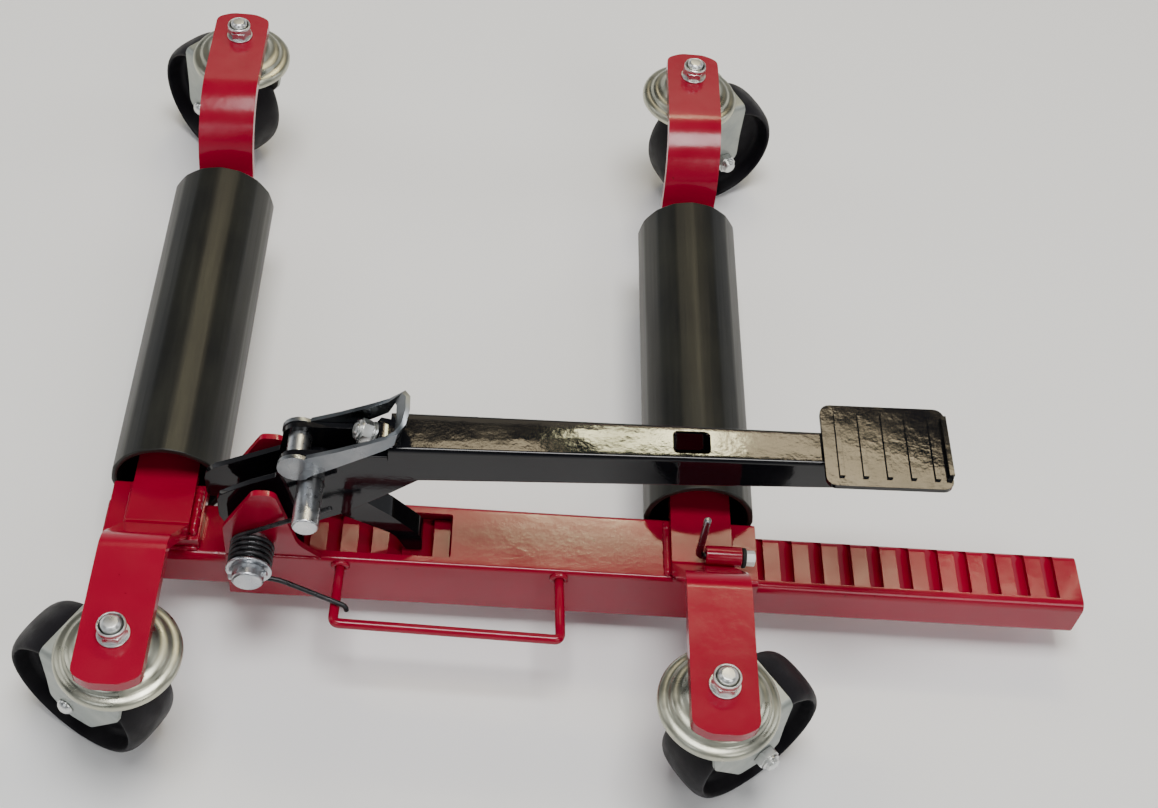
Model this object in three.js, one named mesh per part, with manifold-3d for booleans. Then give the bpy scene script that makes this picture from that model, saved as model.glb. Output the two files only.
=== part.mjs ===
// Foot-operated wheel dolly: two cranked arms with rollers on a telescoping ratchet beam, four swivel
// casters, and a pedal lever that pushes the inner rack tube along to draw the arms together.
// Units are millimetres, +Z is up, X runs along the beam, Y along the rollers, the floor is z = 0.
import * as THREE from "three";
import { mergeVertices } from "three/addons/utils/BufferGeometryUtils.js";
import Module from "manifold-3d";

const wasm = await Module();
wasm.setup();

// ---------------------------------------------------------------- driving dimensions
const FIT = 0.3; // gap between neighbouring solids
const ARM_X = 219.6; // half the distance between the two arms
const ARM_WIDTH = 50;
const ARM_THICK = 10;
const ARM_TOP = 161.6; // top face of the arm ends, over the casters
const ARM_LOW = 92.7; // top face of the low middle section
const TUBE = { x0: -164, x1: 267, y: 30, z0: 22, z1: 82.4, wall: 3, corner: 4 };
const WINDOW = { x0: -140, x1: 15, y: 21 };
const RACK = { x0: -266, x1: 545, y: 26.7, z0: 29.2, z1: 70.7, wall: 4, top: 10, corner: 7 };
const TOOTH = { first: -124.7, pitch: 25, count: 27, land: 13.5, depth: 6, y0: -17.5, y1: 24.5 };
const ROLLER = { r: 46.2, bore: 41, z: 80.8, leftY0: 36.2, rightY0: 32, y1: 362 };
const SADDLE = { x0: -262.3, x1: -186.3, y0: -18.9, y1: 34.4 }; // packing plate under the left arm
const BUSH = { inset: 24, length: 14 };
const CASTER = { trail: 36, radius: 62.5, width: 50, leg: 26.5, plate: 3, crownZ: 127.5, discR: 46.4 };
const STEM_R = 8; // caster stem bolt
const AXLE_R = 6; // caster wheel axle
const PIVOT = { x: -140.5, z: 103, r: 12.5 }; // main lever shaft
const PAWL_PIN = { x: -95.3, z: 165, r: 10.2 };
const BAIL = { x: -105, z: 189, shaftR: 9, y: 16, thick: 3.6 };
const LEVER = { y0: 10.6, thick: 5 };
const PEDAL = { x0: -34, x1: 385, topZ: 219.5, topSlope: 0.0395, botZ: 181.1, botSlope: 0.0665, wall: 3 };
const STUD = { x: -40, z: 208.1, tilt: 27, seat: 9.1 }; // bolt in the web between the yoke plates
const SPRING = { meanR: 15.5, wireR: 2.05, turns: 4.389, pitch: 4.45, y: -33.4 };
const HANDLE = { x0: -72.5, x1: 104, y0: -30.4, y1: -86, z: 76, r: 4, bend: 9 };
const LATCH = { x: 215, y: -16.5, z: 100.3, rodR: 3, top: 152, sleeveX0: 220.4, sleeveX1: 249.9, sleeveR: 7 };

// Each arm: its X, the ends, the two bolt holes and the corners of its cranks, all along Y.
const RIGHT_ARM = { x: ARM_X, y0: -208.6, bolt0: -168, top0: -72, low0: -20, low1: 370, top1: 452, bolt1: 501, y1: 534 };
const LEFT_ARM = { x: -ARM_X, y0: -194.6, bolt0: -153.6, top0: -68, low0: -11, low1: 370, top1: 452, bolt1: 507, y1: 541 };

// Each caster: which arm and bolt it hangs from, the direction of its axle and of its trail.
const CASTERS = [
  { tag: "near_left", arm: LEFT_ARM, y: LEFT_ARM.bolt0, axleDeg: 59.3, side: 1 },
  { tag: "far_left", arm: LEFT_ARM, y: LEFT_ARM.bolt1, axleDeg: 47.8, side: 1 },
  { tag: "near_right", arm: RIGHT_ARM, y: RIGHT_ARM.bolt0, axleDeg: 126.3, side: -1 },
  { tag: "far_right", arm: RIGHT_ARM, y: RIGHT_ARM.bolt1, axleDeg: 118.1, side: -1 },
];

// The origin is under the middle of the whole dolly, so the layout above is shifted by this much.
const CENTRE = { x: 115.55, y: 186.96 };

// ---------------------------------------------------------------- materials
const paint = (color, roughness, metalness) => new THREE.MeshStandardMaterial({ color, roughness, metalness });
const RED = paint(0xa5122d, 0.25, 0.0);
const BLACK_GLOSS = paint(0x0b0b0e, 0.18, 0.0);
const ROLLER_BLACK = paint(0x2b2d28, 0.45, 0.0);
const ZINC = paint(0xb9bab0, 0.3, 0.9);
const STEEL = paint(0xa9adb3, 0.25, 0.95);
const WHEEL_BLACK = paint(0x17171a, 0.55, 0.0);
const NYLON = paint(0x141414, 0.6, 0.0);
const RUBBER = paint(0x101010, 0.8, 0.0);
const WIRE = paint(0x121214, 0.35, 0.6);

// ---------------------------------------------------------------- shape helpers
const rad = THREE.MathUtils.degToRad;
const v2 = (x, y) => new THREE.Vector2(x, y);
const v3 = (x, y, z) => new THREE.Vector3(x, y, z);

// Only positions, with shared vertices merged and faces turned outward.
function closed(geometry) {
  let g = geometry.clone();
  for (const name of Object.keys(g.attributes)) {
    if (name !== "position") g.deleteAttribute(name);
  }
  g = mergeVertices(g, 1e-4);
  const p = g.attributes.position;
  const index = Array.from(g.index.array);
  const kept = [];
  for (let i = 0; i < index.length; i += 3) {
    const [a, b, c] = [index[i], index[i + 1], index[i + 2]];
    if (a !== b && b !== c && a !== c) kept.push(a, b, c);
  }
  let volume = 0;
  for (let i = 0; i < kept.length; i += 3) {
    const [a, b, c] = [0, 1, 2].map((k) => v3().fromBufferAttribute(p, kept[i + k]));
    volume += a.dot(b.cross(c));
  }
  if (volume < 0) {
    for (let i = 0; i < kept.length; i += 3) [kept[i + 1], kept[i + 2]] = [kept[i + 2], kept[i + 1]];
  }
  g.setIndex(kept);
  return g;
}

function solid(geometry) {
  const g = closed(geometry);
  return new wasm.Manifold(new wasm.Mesh({
    numProp: 3,
    vertProperties: new Float32Array(g.attributes.position.array),
    triVerts: new Uint32Array(g.index.array),
  }));
}

function geometryOf(manifold) {
  const m = manifold.getMesh();
  const g = new THREE.BufferGeometry();
  g.setAttribute("position", new THREE.BufferAttribute(new Float32Array(m.vertProperties), 3));
  g.setIndex(Array.from(m.triVerts));
  return g;
}

const join = (...parts) => geometryOf(parts.map(solid).reduce((a, b) => a.add(b)));
const cut = (body, ...tools) => geometryOf(tools.map(solid).reduce((a, b) => a.subtract(b), solid(body)));
const common = (a, b) => geometryOf(solid(a).intersect(solid(b)));

function block(x0, x1, y0, y1, z0, z1) {
  const g = new THREE.BoxGeometry(x1 - x0, y1 - y0, z1 - z0);
  return g.translate((x0 + x1) / 2, (y0 + y1) / 2, (z0 + z1) / 2);
}

// A round bar from s0 to s1 along one axis; at gives the two other coordinates in XYZ order.
function bar(axis, r, s0, s1, at, segments = 24, r2 = r) {
  const g = new THREE.CylinderGeometry(r2, r, s1 - s0, segments);
  const mid = (s0 + s1) / 2;
  if (axis === "x") return g.rotateZ(-Math.PI / 2).translate(mid, at[0], at[1]);
  if (axis === "y") return g.translate(at[0], mid, at[1]);
  return g.rotateX(Math.PI / 2).translate(at[0], at[1], mid);
}

function shapeOf(points) {
  return new THREE.Shape(points.map(([a, b]) => v2(a, b)));
}

// Replace each corner [a, b, radius] of an outline by an arc of that radius.
function rounded(corners, steps = 5) {
  const out = [];
  const n = corners.length;
  corners.forEach(([a, b, r = 0], i) => {
    if (r <= 0) {
      out.push([a, b]);
      return;
    }
    const here = v2(a, b);
    const before = v2(...corners[(i + n - 1) % n].slice(0, 2)).sub(here).normalize();
    const after = v2(...corners[(i + 1) % n].slice(0, 2)).sub(here).normalize();
    const half = Math.acos(THREE.MathUtils.clamp(before.dot(after), -1, 1)) / 2;
    const centre = here.clone().add(before.clone().add(after).normalize().multiplyScalar(r / Math.sin(half)));
    const from = here.clone().addScaledVector(before, r / Math.tan(half)).sub(centre);
    const to = here.clone().addScaledVector(after, r / Math.tan(half)).sub(centre);
    const sweep = Math.atan2(from.cross(to), from.dot(to));
    for (let k = 0; k <= steps; k += 1) {
      const q = from.clone().rotateAround(v2(0, 0), (sweep * k) / steps).add(centre);
      out.push([q.x, q.y]);
    }
  });
  return out;
}

function extrude(points, depth, holes = []) {
  const shape = shapeOf(points);
  for (const hole of holes) shape.holes.push(new THREE.Path(hole.map(([a, b]) => v2(a, b))));
  return new THREE.ExtrudeGeometry(shape, { depth, bevelEnabled: false });
}

// Outlines in XY raised along Z, in XZ along Y, and in YZ along X.
const plateXY = (points, z0, z1, holes) => extrude(points, z1 - z0, holes).translate(0, 0, z0);
const plateXZ = (points, y0, y1, holes) => extrude(points, y1 - y0, holes).rotateX(Math.PI / 2).translate(0, y1, 0);

function plateYZ(points, x0, x1, holes) {
  const g = extrude(points, x1 - x0, holes);
  g.applyMatrix4(new THREE.Matrix4().set(0, 0, 1, 0, 1, 0, 0, 0, 0, 1, 0, 0, 0, 0, 0, 1));
  return g.translate(x0, 0, 0);
}

const rect = (a0, a1, b0, b1, r) => rounded([[a0, b0, r], [a1, b0, r], [a1, b1, r], [a0, b1, r]]);

function circle(a, b, r, segments = 24) {
  const out = [];
  for (let k = 0; k < segments; k += 1) {
    const t = (2 * Math.PI * k) / segments;
    out.push([a + r * Math.cos(t), b + r * Math.sin(t)]);
  }
  return out;
}

// Points along an arc, angles in degrees from the first axis toward the second.
function arc(a, b, r, from, to, steps) {
  const out = [];
  for (let k = 0; k <= steps; k += 1) {
    const t = rad(from + ((to - from) * k) / steps);
    out.push([a + r * Math.cos(t), b + r * Math.sin(t)]);
  }
  return out;
}

// A solid of revolution about Z from a list of [radius, height].
const turned = (profile, segments = 32) => {
  const g = new THREE.LatheGeometry(profile.map(([r, h]) => v2(r, h)), segments);
  return g.rotateX(Math.PI / 2);
};

// A wire of radius r that passes exactly through a list of points.
class Route extends THREE.Curve {
  constructor(points) {
    super();
    this.points = points;
  }

  getPointAt(u, target = v3()) {
    return target.copy(this.points[Math.round(u * (this.points.length - 1))]);
  }

  getTangentAt(u, target = v3()) {
    const i = Math.round(u * (this.points.length - 1));
    const before = this.points[Math.max(i - 1, 0)];
    const after = this.points[Math.min(i + 1, this.points.length - 1)];
    return target.copy(after).sub(before).normalize();
  }
}

function wire(points, r, sides) {
  const options = { steps: points.length - 1, extrudePath: new Route(points), bevelEnabled: false };
  return new THREE.ExtrudeGeometry(shapeOf(circle(0, 0, r, sides)), options);
}

// Points along straight runs joined by bends, starting each bend this far from its corner.
function bentRoute(corners, bend, steps = 4) {
  const out = [corners[0]];
  for (let i = 1; i < corners.length - 1; i += 1) {
    const corner = corners[i];
    const start = corner.clone().add(corners[i - 1].clone().sub(corner).setLength(bend));
    const end = corner.clone().add(corners[i + 1].clone().sub(corner).setLength(bend));
    const curve = new THREE.QuadraticBezierCurve3(start, corner, end);
    for (let k = 0; k <= steps; k += 1) out.push(curve.getPoint(k / steps));
  }
  out.push(corners[corners.length - 1]);
  return out;
}

const hexagon = (a, b, acrossFlats, turn = 0) =>
  circle(0, 0, acrossFlats / Math.sqrt(3), 6).map(([x, y]) => {
    const q = v2(x, y).rotateAround(v2(0, 0), turn);
    return [q.x + a, q.y + b];
  });

const dolly = new THREE.Group();

function add(name, geometry, material, parent = dolly) {
  const mesh = new THREE.Mesh(closed(geometry), material);
  mesh.name = name;
  parent.add(mesh);
  return mesh;
}

// ---------------------------------------------------------------- beam
function outerTube() {
  const { x0, x1, y, z0, z1, wall, corner } = TUBE;
  const section = rect(-y, y, z0, z1, corner);
  const bore = rect(-y + wall, y - wall, z0 + wall, z1 - wall, 1.2);
  const tube = plateYZ(section, x0, x1, [bore]);
  const slot = rect(WINDOW.x0, WINDOW.x1, -WINDOW.y, WINDOW.y, 2);
  return cut(tube, plateXY(slot, z1 - wall - 1, z1 + 1));
}

function rackTube() {
  const { x0, x1, y, z0, z1, wall, top, corner } = RACK;
  const section = rect(-y, y, z0, z1, corner);
  const bore = rect(-y + wall, y - wall, z0 + wall, z1 - top, 3);
  const tube = plateYZ(section, x0, x1, [bore]);
  const gullets = [];
  for (let i = 0; i < TOOTH.count; i += 1) {
    const wallX = TOOTH.first + TOOTH.pitch * (i + 1);
    if (wallX > x1) break;
    const ramp = [
      [wallX - TOOTH.pitch + TOOTH.land, z1],
      [wallX, z1 - TOOTH.depth],
      [wallX, z1 + 1],
      [wallX - TOOTH.pitch + TOOTH.land, z1 + 1],
    ];
    gullets.push(plateXZ(ramp, TOOTH.y0, TOOTH.y1));
  }
  return cut(tube, ...gullets);
}

// The arms are cranked flat bars: high over each caster, low where they cross the beam and fill the rollers.
// The top line of an arm as [y, z] points: two cranks, the near one straight, the far one a long curve.
function armTopLine(arm) {
  const line = [[arm.y0 - 5, ARM_TOP]];
  const nearCorners = rounded([[arm.y0 - 5, ARM_TOP], [arm.top0, ARM_TOP, 28], [arm.low0, ARM_LOW, 5], [arm.low1, ARM_LOW]], 6);
  line.push(...nearCorners.slice(1, -1));
  const steep = rad(80);
  const small = 14.4;
  const large = (arm.top1 - arm.low1 - small * Math.sin(steep)) / Math.sin(steep);
  for (let k = 0; k <= 5; k += 1) {
    const t = (steep * k) / 5;
    line.push([arm.low1 + small * Math.sin(t), ARM_LOW + small * (1 - Math.cos(t))]);
  }
  const rise = ARM_TOP - large * (1 - Math.cos(steep));
  line[line.length - 1][1] = (line[line.length - 1][1] + rise) / 2;
  for (let k = 9; k >= 0; k -= 1) {
    const t = (steep * k) / 10;
    line.push([arm.top1 - large * Math.sin(t), ARM_TOP - large * (1 - Math.cos(t))]);
  }
  line.push([arm.y1 + 5, ARM_TOP]);
  return line;
}

function armGeometry(arm) {
  const line = armTopLine(arm);
  const under = line.map(([y, z], i) => {
    const a = line[Math.max(i - 1, 0)];
    const b = line[Math.min(i + 1, line.length - 1)];
    const along = v2(b[0] - a[0], b[1] - a[1]).normalize();
    return [y + along.y * ARM_THICK, z - along.x * ARM_THICK];
  });
  const side = plateYZ([...line, ...under.reverse()], arm.x - ARM_WIDTH / 2, arm.x + ARM_WIDTH / 2);
  const w = ARM_WIDTH / 2;
  const plan = rounded([
    [arm.x - w, arm.y0 + 8, 9],
    [arm.x - w * 0.45, arm.y0 + 1, 20],
    [arm.x + w * 0.45, arm.y0 + 1, 20],
    [arm.x + w, arm.y0 + 8, 9],
    [arm.x + w, arm.y1 - 8, 9],
    [arm.x + w * 0.45, arm.y1 - 1, 20],
    [arm.x - w * 0.45, arm.y1 - 1, 20],
    [arm.x - w, arm.y1 - 8, 9],
  ], 3);
  const trimmed = common(side, plateXY(plan, 0, 300));
  const holes = [arm.bolt0, arm.bolt1].map((y) => bar("z", STEM_R + FIT, 100, 200, [arm.x, y]));
  return cut(trimmed, ...holes);
}

function bracketPlate(y0) {
  const outline = rounded([
    [TUBE.x0 + 0.5, TUBE.z1 + FIT, 0],
    [-88, TUBE.z1 + FIT, 0],
    [-106, 101, 20],
    [-121, 166, 7],
    [-138, 166, 7],
    [TUBE.x0 + 0.5, 119, 8],
  ], 4);
  const hole = circle(PIVOT.x, PIVOT.z, PIVOT.r + FIT);
  return plateXZ(outline, y0, y0 + 5, [hole]);
}

add("outer_tube", outerTube(), RED);
add("bracket_plate_near", bracketPlate(-29.7), RED);
add("bracket_plate_far", bracketPlate(24.7), RED);
add("right_arm", armGeometry(RIGHT_ARM), RED);
add("rack_tube", rackTube(), RED);
add("left_arm", armGeometry(LEFT_ARM), RED);
add("arm_spacer", block(SADDLE.x0, SADDLE.x1, SADDLE.y0, SADDLE.y1, RACK.z1 + FIT, ARM_LOW - ARM_THICK - FIT), RED);

// Nylon pads that fill the slack between the rack tube and the outer tube at its right mouth.
add("slide_pad_lower", block(205, 262, -22, 22, TUBE.z0 + TUBE.wall + FIT, RACK.z0 - FIT), NYLON);
add("slide_pad_upper", block(215, 262, -19, 19, RACK.z1 + FIT, TUBE.z1 - TUBE.wall - FIT), NYLON);

function carryHandle() {
  const { x0, x1, y0, y1, z, r, bend } = HANDLE;
  const corners = [v3(x0, y0, z), v3(x0 - 1, y1 + 2, z), v3(x1 + 2, y1 - 2, z), v3(x1, y0, z)];
  return wire(bentRoute(corners, bend), r, 10);
}
add("carry_handle", carryHandle(), RED);

// ---------------------------------------------------------------- rollers on their nylon bushings
for (const [side, arm, y0] of [["left", LEFT_ARM, ROLLER.leftY0], ["right", RIGHT_ARM, ROLLER.rightY0]]) {
  const { y1 } = ROLLER;
  const ring = circle(arm.x, ROLLER.z, ROLLER.bore, 32);
  const tube = plateXZ(circle(arm.x, ROLLER.z, ROLLER.r, 48), y0, y1, [ring]);
  add(`roller_${side}`, tube, ROLLER_BLACK);
  const clear = ARM_WIDTH / 2 + FIT;
  const passage = rect(arm.x - clear, arm.x + clear, ARM_LOW - ARM_THICK - FIT, ARM_LOW + FIT, 0);
  const outline = circle(arm.x, ROLLER.z, ROLLER.bore - FIT, 32);
  for (const [end, from] of [["near", y0 + BUSH.inset], ["far", y1 - BUSH.inset - BUSH.length]]) {
    add(`bush_${side}_${end}`, plateXZ(outline, from, from + BUSH.length, [passage]), NYLON);
  }
}

// ---------------------------------------------------------------- casters
function raceCap() {
  const z1 = ARM_TOP - ARM_THICK - FIT;
  const z0 = CASTER.crownZ + CASTER.plate + 0.4;
  return turned([
    [STEM_R + FIT, z0], [CASTER.discR - 3, z0], [CASTER.discR, z0 + 2], [CASTER.discR, z0 + 5],
    [CASTER.discR - 2.5, z0 + 7.5], [39.5, z0 + 8.5], [37.5, z0 + 11.5], [34, z0 + 13],
    [24, z1], [STEM_R + FIT, z1], [STEM_R + FIT, z0],
  ], 32);
}

// Fork in its own frame: the trail points along +X, the axle along Y, the stem is the Z axis.
function fork() {
  const { trail, leg, plate, crownZ } = CASTER;
  const stemHole = circle(0, 0, STEM_R + FIT);
  const disc = plateXY(circle(0, 0, 40, 28), crownZ, crownZ + plate, [stemHole]);
  const tongue = plateXY(rounded([[-12, -leg - plate, 0], [60, -leg - plate, 6], [60, leg + plate, 6], [-12, leg + plate, 0]]),
    crownZ, crownZ + plate, [stemHole]);
  const outline = rounded([
    [-28, crownZ + plate, 0],
    [-19, 95, 12],
    [14, 51, 8],
    [trail + 2, 48, 13],
    [trail + 17, 66, 10],
    [60, 104, 20],
    [60, crownZ + plate, 0],
  ], 4);
  const axleHole = circle(trail, CASTER.radius, AXLE_R + FIT);
  const legs = [-leg - plate, leg].map((y) => plateXZ(outline, y, y + plate, [axleHole]));
  return join(disc, tongue, ...legs);
}

function wheel() {
  const half = CASTER.width / 2;
  const r = CASTER.radius;
  const side = [[r, half - 8], [r - 1.6, half - 3.5], [r - 5, half], [r - 9, half - 1], [r - 13, half - 12], [16, half - 15], [14, half - 1]];
  const profile = [
    [AXLE_R + FIT, -half + 1],
    ...side.slice().reverse().map(([a, b]) => [a, -b]),
    ...side,
    [AXLE_R + FIT, half - 1],
    [AXLE_R + FIT, -half + 1],
  ];
  return turned(profile, 28).rotateX(Math.PI / 2);
}

// Stem bolt: thin head under the crown, shank up through the cap and the arm.
function stemBolt() {
  const head = plateXY(hexagon(0, 0, 22), CASTER.crownZ - 6, CASTER.crownZ - FIT);
  const shank = turned([
    [0, CASTER.crownZ - 3], [STEM_R - 0.3, CASTER.crownZ - 3], [STEM_R - 0.3, ARM_TOP + 14],
    [6.6, ARM_TOP + 16.6], [0, ARM_TOP + 17.2],
  ], 16);
  return join(head, shank);
}

// Lock nut with a washer face below and a round nylon collar above.
function stemNut() {
  const z = ARM_TOP + FIT;
  const face = plateXY(circle(0, 0, 13.4, 16), z, z + 2);
  const hex = plateXY(hexagon(0, 0, 23), z + 1, z + 10);
  const collar = turned([[0, z + 9], [11.2, z + 9], [11.2, z + 12.4], [9.4, z + 14], [0, z + 14]], 16);
  return cut(join(face, hex, collar), bar("z", STEM_R, z - 1, z + 20, [0, 0], 16));
}

// Axle along Y: domed head on one side, hex lock nut with a showing thread end on the other.
function axleBolt() {
  const { leg, plate } = CASTER;
  const s = leg + plate + FIT;
  const head = turned([[0, 0], [9.5, 0], [9.2, 2], [7, 5], [3.5, 6.4], [0, 6.6]], 16).rotateX(Math.PI / 2).translate(0, -s, 0);
  const shank = bar("y", AXLE_R, -s - 1, s + 11, [0, 0], 16);
  const nut = plateXZ(hexagon(0, 0, 17), s, s + 7);
  const collar = bar("y", 7.6, s + 6, s + 9, [0, 0], 16);
  return join(head, shank, nut, collar);
}

for (const caster of CASTERS) {
  const stem = new THREE.Group();
  stem.position.set(caster.arm.x, caster.y, 0);
  dolly.add(stem);
  add(`race_cap_${caster.tag}`, raceCap(), ZINC, stem);
  add(`stem_bolt_${caster.tag}`, stemBolt(), ZINC, stem);
  add(`stem_nut_${caster.tag}`, stemNut(), ZINC, stem);
  const swivel = new THREE.Group();
  swivel.rotation.z = rad(caster.axleDeg + 90 * caster.side);
  stem.add(swivel);
  add(`fork_${caster.tag}`, fork(), ZINC, swivel);
  const axle = new THREE.Group();
  axle.position.set(CASTER.trail, 0, CASTER.radius);
  swivel.add(axle);
  add(`wheel_${caster.tag}`, wheel(), WHEEL_BLACK, axle);
  const bolt = new THREE.Group();
  bolt.rotation.z = Math.PI;
  axle.add(bolt);
  add(`axle_bolt_${caster.tag}`, axleBolt(), ZINC, bolt);
}

// ---------------------------------------------------------------- pedal lever
const leverHoles = () => [
  bar("y", PIVOT.r + FIT, -40, 40, [PIVOT.x, PIVOT.z]),
  bar("y", PAWL_PIN.r + FIT, -40, 40, [PAWL_PIN.x, PAWL_PIN.z]),
  bar("y", BAIL.shaftR + FIT, -40, 40, [BAIL.x, BAIL.z]),
];

// A side plate of the yoke; prong is the outline of its free end left of the main shaft.
function leverPlate(y0, prong) {
  const outline = [
    ...arc(PIVOT.x, PIVOT.z, 18.5, 205, 325, 6),
    [-104, 105],
    [-87, 118],
    [-70, 128.6],
    [-34, 159.7],
    [-12.1, 179.5],
    [-36.5, 202.3],
    [-36.5, 206],
    ...arc(BAIL.x, BAIL.z, 13.5, 100, 185, 5),
    [-121.5, 171.5],
    [-142, 160],
    ...prong,
  ];
  return cut(plateXZ(outline, y0, y0 + LEVER.thick), ...leverHoles());
}
const NEAR_PRONG = [[-154, 152], [-166, 143], [-168.5, 137], [-168.5, 116], [-165, 106.5]];
const FAR_PRONG = [[-163, 148], [-174, 142], [-181, 134.5], [-182.5, 128], [-182.5, 108], [-179, 103.5], [-173, 103.5]];
add("lever_plate_near", leverPlate(-LEVER.y0 - LEVER.thick, NEAR_PRONG), BLACK_GLOSS);
add("lever_plate_far", leverPlate(LEVER.y0, FAR_PRONG), BLACK_GLOSS);

// Rings that keep the yoke midway between the bracket plates.
for (const [tag, y] of [["near", -24.4], ["far", LEVER.y0 + LEVER.thick + FIT]]) {
  const ring = plateXZ(circle(PIVOT.x, PIVOT.z, 16), y, y + 8.5, [circle(PIVOT.x, PIVOT.z, PIVOT.r + FIT)]);
  add(`pivot_spacer_${tag}`, ring, STEEL);
}

const pedalTop = (x) => PEDAL.topZ + PEDAL.topSlope * (x - PEDAL.x0);
const pedalBottom = (x) => PEDAL.botZ + PEDAL.botSlope * x;
const pedalHalf = (x) => Math.max(15, 18.5 - 0.0108 * (x - PEDAL.x0));

// Tapered box section between two X stations, inset by a wall on every long side.
function taperedBox(x0, x1, inset, r) {
  const g = plateYZ(rect(-1, 1, -1, 1, r), x0, x1);
  const p = g.attributes.position;
  for (let i = 0; i < p.count; i += 1) {
    const x = p.getX(i);
    const mid = (pedalTop(x) + pedalBottom(x)) / 2;
    const high = (pedalTop(x) - pedalBottom(x)) / 2 - inset;
    p.setXYZ(i, x, p.getY(i) * (pedalHalf(x) - inset), mid + p.getZ(i) * high);
  }
  return g;
}

function pedalTube() {
  const outer = taperedBox(PEDAL.x0 - 2, PEDAL.x1, 0, 0.2);
  const bore = taperedBox(PEDAL.x0 + 3, PEDAL.x1 + 5, PEDAL.wall, 0.1);
  const slot = plateXY(rect(177, 205.5, -10.5, 10.5, 4), 150, 260);
  const heel = plateXZ([[-60, 170], [-1, 170], [-36.2, 202.8], [-36.2, 240], [-60, 240]], -30, 30);
  const web = plateXZ([[-33, 219], [-43.2, 221.5], [-54.5, 199.4], [-50, 197], [-33, 203.5]], -10.2, 10.2);
  const hole = bar("z", 5.4, 0, 30, [0, 0]).rotateY(-rad(90 - STUD.tilt)).translate(STUD.x, 0, STUD.z);
  return cut(join(cut(outer, bore, slot, heel), web), hole);
}
add("pedal_tube", pedalTube(), BLACK_GLOSS);

function tubeCap() {
  const x = PEDAL.x1;
  const plug = taperedBox(x - 12, x - FIT, PEDAL.wall + FIT, 0.1);
  const face = taperedBox(x + FIT, x + 3, 0.5, 0.2);
  const neck = taperedBox(x - 1, x + 1, PEDAL.wall + 1, 0.1);
  return join(plug, neck, face);
}
add("tube_end_cap", tubeCap(), NYLON);

// Stud out of the sloping web, with its washers and lock nut facing the bail.
function pedalBolt() {
  const seat = STUD.seat + FIT;
  const shank = turned([[0, 0.5], [5, 0.5], [5, seat + 14.5], [4, seat + 15.8], [0, seat + 15.8]], 16);
  const wide = bar("z", 10, seat, seat + 2, [0, 0], 20);
  const narrow = bar("z", 9.2, seat + 1.5, seat + 3.6, [0, 0], 20);
  const hex = plateXY(hexagon(0, 0, 17), seat + 3.2, seat + 11.5);
  const collar = bar("z", 7.8, seat + 11, seat + 14, [0, 0], 16);
  return join(shank, wide, narrow, hex, collar);
}
const stud = new THREE.Group();
stud.position.set(STUD.x, 0, STUD.z);
stud.rotation.y = -rad(90 - STUD.tilt);
dolly.add(stud);
add("pedal_bolt", pedalBolt(), STEEL, stud);

function footPlate() {
  const tilt = Math.atan(PEDAL.topSlope);
  const plate = plateXY(rect(-48, 48, -38, 38, 8), 0, 4);
  const ribs = [-36, -18, 0, 18, 36].map((x) => block(x - 2, x + 2, -30, 30, 3.5, 6));
  const curb = block(44, 48, -28, 28, 3.5, 9);
  const g = join(plate, ...ribs, curb);
  return g.rotateY(-tilt).translate(338, 0, pedalTop(338) + FIT + 0.2);
}
add("foot_plate", footPlate(), BLACK_GLOSS);

add("pawl_pin", turned([[0, -17.5], [PAWL_PIN.r, -17.5], [PAWL_PIN.r, 55.3], [PAWL_PIN.r - 1.2, 56.5], [0, 56.5]], 24)
  .rotateX(Math.PI / 2).translate(PAWL_PIN.x, 0, PAWL_PIN.z), STEEL);

// Main shaft: across both bracket plates, its near end carries the torsion spring.
add("pivot_shaft", turned([[0, -31.5], [PIVOT.r, -31.5], [PIVOT.r, 66.5], [PIVOT.r - 1.6, 68.5], [0, 68.5]], 28)
  .rotateX(Math.PI / 2).translate(PIVOT.x, 0, PIVOT.z), STEEL);

// ---------------------------------------------------------------- torsion spring and its retainer
function torsionSpring() {
  const slope = rad(32);
  const { meanR, wireR, turns, pitch, y } = SPRING;
  const coil = [];
  const steps = 80;
  for (let k = 0; k <= steps; k += 1) {
    const t = slope + Math.PI / 2 + (2 * Math.PI * turns * k) / steps;
    coil.push(v3(PIVOT.x + meanR * Math.cos(t), y - (pitch * turns * k) / steps, PIVOT.z + meanR * Math.sin(t)));
  }
  const upperEnd = coil[0].clone().add(v3(Math.cos(slope), 0, Math.sin(slope)).multiplyScalar(84));
  const knee = coil[steps].clone().add(v3(24, 0, -2.6));
  const hook = v3(-67, -71, HANDLE.z + HANDLE.r + wireR + 0.4);
  return wire([upperEnd, ...coil, knee, hook], wireR, 6);
}
add("torsion_spring", torsionSpring(), WIRE);

const washerY = SPRING.y - SPRING.pitch * SPRING.turns - SPRING.wireR - 0.6;
add("spring_washer", plateXZ(circle(PIVOT.x, PIVOT.z, 18, 28), washerY - 2.5, washerY, [circle(PIVOT.x, PIVOT.z, PIVOT.r + FIT)]), STEEL);

// ---------------------------------------------------------------- pawls
function drivePawl() {
  const outline = rounded([
    [-111, 159, 14],
    [-105, 180, 14],
    [-83, 180, 14],
    [-64, 146, 26],
    [-34, 120, 40],
    [-8.6, 92, 16],
    [-8.6, 73.4, 1.5],
    [-21.5, 73.4, 1.5],
    [-31, 94, 22],
    [-70, 115.5, 40],
    [-99, 142, 14],
  ], 4);
  const hole = circle(PAWL_PIN.x, PAWL_PIN.z, PAWL_PIN.r + FIT);
  return plateXZ(outline, -9.5, 9.5, [hole]);
}
add("drive_pawl", drivePawl(), BLACK_GLOSS);

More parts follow.
